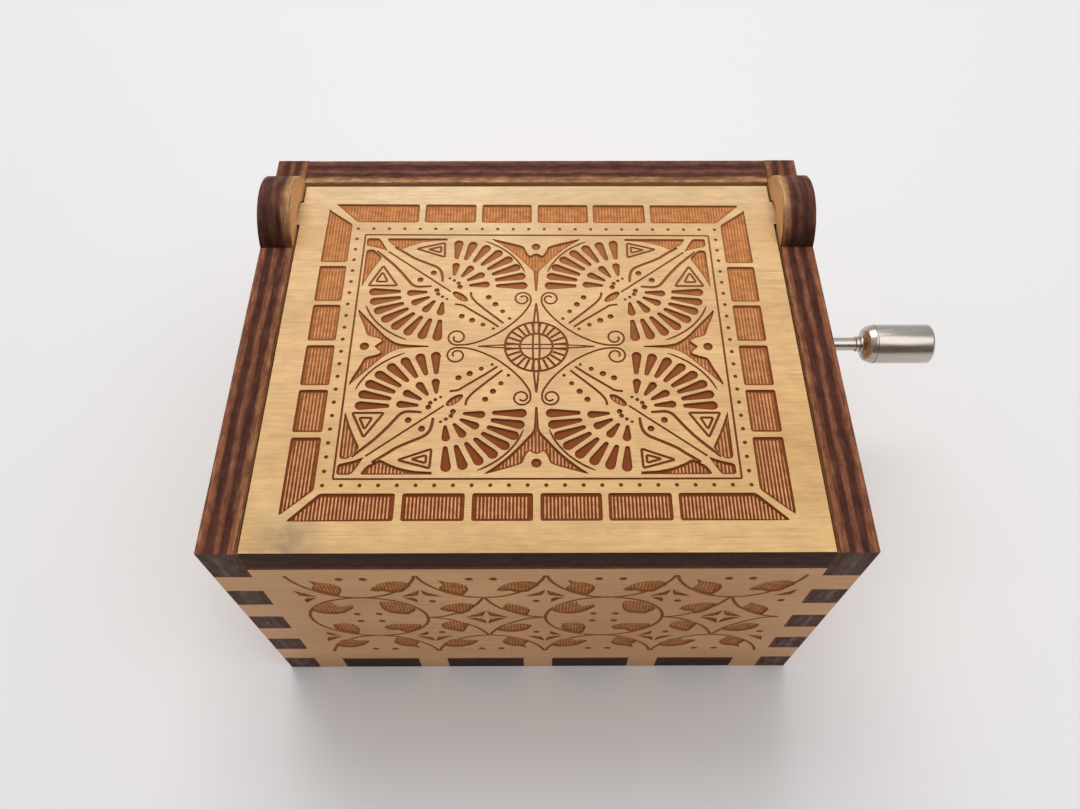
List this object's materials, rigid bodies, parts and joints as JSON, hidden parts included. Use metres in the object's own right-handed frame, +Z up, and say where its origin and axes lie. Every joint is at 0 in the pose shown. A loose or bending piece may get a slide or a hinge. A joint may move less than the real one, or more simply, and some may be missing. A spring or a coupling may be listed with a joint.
{
  "type": "hand-cranked music box",
  "caption": "Small plywood music box with engraved hinged lid; a side crank turns a worm-driven pinned cylinder that plucks a steel comb.",
  "frame": {"origin": "centre of the case's flat underside", "axes": "+X along the case towards the crank, +Y to the back where the lid is hinged, +Z up"},
  "size_m": [0.0835, 0.052, 0.042],
  "materials": {
    "plywood": "laser-cut birch plywood, raw, with darkened cut edges and engraving",
    "zinc_casting": "die-cast zinc alloy, as cast",
    "brass": "turned brass, satin",
    "comb_steel": "ground and hardened spring steel",
    "lead": "dull grey lead",
    "sheet_steel": "zinc-plated sheet steel",
    "shaft_steel": "turned steel",
    "white_nylon": "moulded nylon",
    "nickel_plate": "nickel-plated, polished",
    "screw_steel": "zinc-plated steel"
  },
  "bodies": {
    "case": {"bottom_panel": "plywood", "front_panel": "plywood", "back_panel": "plywood", "left_panel": "plywood", "right_panel": "plywood", "bedplate": "zinc_casting", "left_worm_bracket": "sheet_steel", "right_worm_bracket": "sheet_steel", "arbor_bracket": "sheet_steel", "comb": "comb_steel", "comb_weights": "lead", "bedplate_screws": "screw_steel", "comb_screws": "screw_steel", "bracket_screws": "screw_steel"},
    "lid": {"lid_panel": "plywood"},
    "cylinder": {"pinned_cylinder": "brass", "front_end_cap": "brass", "rear_end_cap": "brass", "cylinder_arbor": "shaft_steel", "worm_wheel": "white_nylon"},
    "crank": {"worm_shaft": "shaft_steel", "crank_wire": "nickel_plate", "knob_rivet": "nickel_plate"},
    "knob": {"crank_knob": "nickel_plate"}
  },
  "joints": [
    {"name": "lid_hinge", "type": "hinge", "parent": "case", "child": "lid", "pos_m": [0, 0.0171, 0.0363], "axis": [-1, 0, 0], "range_deg": [0, 135]},
    {"name": "crank_turn", "type": "hinge", "parent": "case", "child": "crank", "pos_m": [0.0174, -0.0036, 0.0208], "axis": [1, 0, 0], "continuous": true},
    {"name": "cylinder_turn", "type": "hinge", "parent": "case", "child": "cylinder", "pos_m": [0.009, 0.0081, 0.0136], "axis": [0, 1, 0], "continuous": true},
    {"name": "knob_spin", "type": "hinge", "parent": "crank", "child": "knob", "pos_m": [0.0469, 0.0104, 0.0208], "axis": [1, 0, 0], "continuous": true}
  ],
  "couplings": [
    {"joint": "cylinder_turn", "follows": "crank_turn", "ratio": -0.0625}
  ]
}
